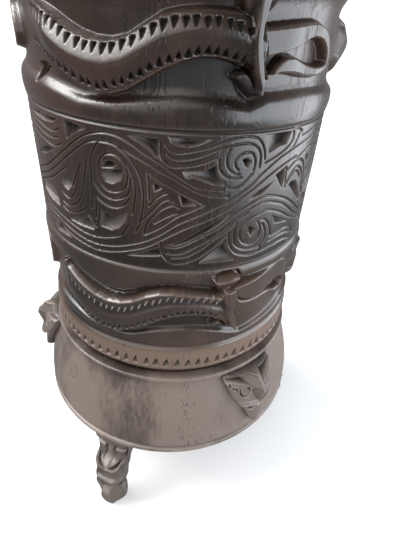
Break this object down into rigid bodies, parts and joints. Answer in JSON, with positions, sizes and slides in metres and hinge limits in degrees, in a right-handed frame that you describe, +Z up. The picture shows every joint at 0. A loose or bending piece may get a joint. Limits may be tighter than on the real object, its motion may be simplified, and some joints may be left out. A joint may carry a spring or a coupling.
{
  "type": "carved footed vessel",
  "caption": "Tall cylindrical vessel in dark hardwood with snakes and scrollwork carved in relief, a flared mouth, a domed base with masks and figure legs.",
  "frame": {"origin": "on the vessel's axis, at the height of the surface that the legs stand on", "axes": "+Z up along the vessel's axis; -Y is the side the carved bands are laid out from, and +X is to its right"},
  "size_m": [0.208, 0.208, 0.3584],
  "materials": {
    "dark_wood": "polished, dark brown-black with fine open pores",
    "base_wood": "satin, dark taupe brown with blotches and fine upright pores",
    "leg_wood": "satin, worn grey brown",
    "mask_wood": "satin, dark brown with worn edges"
  },
  "bodies": {
    "root": {"body": "dark_wood", "floor_disc": "dark_wood", "dome": "base_wood", "base_plate": "base_wood", "leg_front": "leg_wood", "leg_right": "leg_wood", "leg_left": "leg_wood", "mask_right": "mask_wood", "mask_back": "mask_wood", "mask_left": "mask_wood"}
  },
  "joints": []
}
